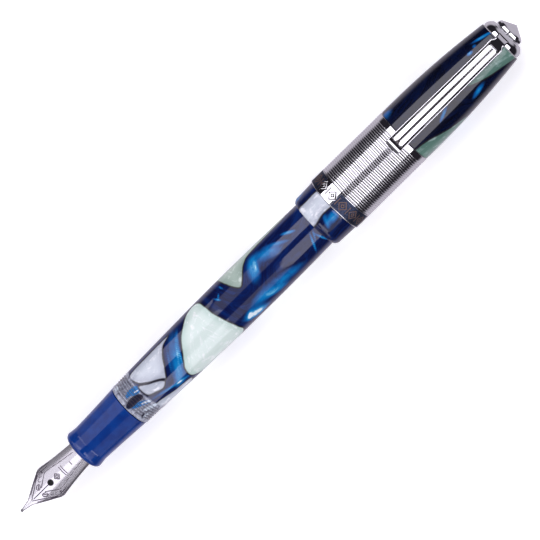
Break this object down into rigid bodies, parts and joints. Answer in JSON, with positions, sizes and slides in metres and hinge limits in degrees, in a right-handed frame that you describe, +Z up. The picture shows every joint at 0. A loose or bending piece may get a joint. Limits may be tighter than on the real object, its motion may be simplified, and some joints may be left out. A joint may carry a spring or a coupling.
{
  "type": "fountain pen",
  "caption": "Converter-filled fountain pen with a screw-off grip, a marbled resin barrel, and a clip cap posted on the barrel's back.",
  "frame": {"origin": "under the middle of the pen's length, at the height of the lowest line of the cap's metal band", "axes": "+X along the pen from the nib to the finial, +Z up through the nib's face and the clip, +Y across"},
  "size_m": [0.16, 0.0148, 0.0167],
  "materials": {
    "marbled_resin": "polished marbled resin, blue, mint and pearl",
    "blue_resin": "polished royal blue resin",
    "dark_resin": "satin black plastic",
    "chrome_trim": "polished chrome plate",
    "nib_steel": "polished stainless steel",
    "tipping": "hard tipping alloy",
    "feed_plastic": "matt black feed plastic",
    "clear_plastic": "clear plastic",
    "converter_metal": "satin chrome",
    "seal_rubber": "black rubber",
    "liner_plastic": "black liner plastic"
  },
  "bodies": {
    "barrel": {"barrel": "marbled_resin"},
    "seal_ring": {"section_o_ring": "seal_rubber"},
    "thread_bush": {"section_thread_bush": "dark_resin"},
    "grip": {"grip_section": "blue_resin", "nib_housing": "dark_resin"},
    "nib_unit": {"nib": "nib_steel", "nib_tipping": "tipping", "feed": "feed_plastic"},
    "converter": {"converter_tube": "clear_plastic", "converter_mouth_band": "converter_metal", "converter_sleeve": "converter_metal"},
    "converter_knob": {"converter_knob": "dark_resin", "converter_drive_nut": "dark_resin"},
    "piston": {"piston_rod": "dark_resin", "piston_seal": "seal_rubber"},
    "cap": {"cap_lip": "marbled_resin", "cap_core_tube": "liner_plastic", "cap_thread_insert": "liner_plastic", "cap_plain_ring": "chrome_trim", "cap_ribbed_sleeve": "chrome_trim", "cap_upper": "marbled_resin", "inner_cap": "liner_plastic", "cap_top_ring": "chrome_trim", "finial_jewel": "chrome_trim", "finial_screw": "converter_metal"},
    "clip": {"clip": "chrome_trim"}
  },
  "joints": [
    {"name": "cap_pull", "type": "slide", "parent": "barrel", "child": "cap", "axis": [1, 0, 0], "range_m": [0, 0.042]},
    {"name": "clip_lift", "type": "hinge", "parent": "cap", "child": "clip", "pos_m": [0.0756, 0, 0.01238], "axis": [0, 1, 0], "range_deg": [0, 6], "stiffness_Nm_per_rad": 0.5, "springref_deg": -1.15},
    {"name": "section_withdraw", "type": "slide", "parent": "barrel", "child": "seal_ring", "axis": [-1, 0, 0], "range_m": [0, 0.062]},
    {"name": "section_draw", "type": "slide", "parent": "seal_ring", "child": "thread_bush", "axis": [-1, 0, 0], "range_m": [0, 0.006]},
    {"name": "section_turn", "type": "hinge", "parent": "thread_bush", "child": "grip", "pos_m": [-0.044, 0, 0.00738], "axis": [-1, 0, 0], "range_deg": [0, 2880]},
    {"name": "nib_pull", "type": "slide", "parent": "grip", "child": "nib_unit", "axis": [-1, 0, 0], "range_m": [0, 0.0115]},
    {"name": "converter_pull", "type": "slide", "parent": "grip", "child": "converter", "axis": [1, 0, 0], "range_m": [0, 0.0068]},
    {"name": "knob_turn", "type": "hinge", "parent": "converter", "child": "converter_knob", "pos_m": [0.005, 0, 0.00738], "axis": [1, 0, 0], "range_deg": [0, 900]},
    {"name": "piston_travel", "type": "slide", "parent": "converter", "child": "piston", "axis": [-1, 0, 0], "range_m": [0, 0.02]}
  ],
  "couplings": [
    {"joint": "section_turn", "follows": "section_draw", "rad_per_m": 8377.6},
    {"joint": "knob_turn", "follows": "piston_travel", "rad_per_m": 785.4}
  ]
}
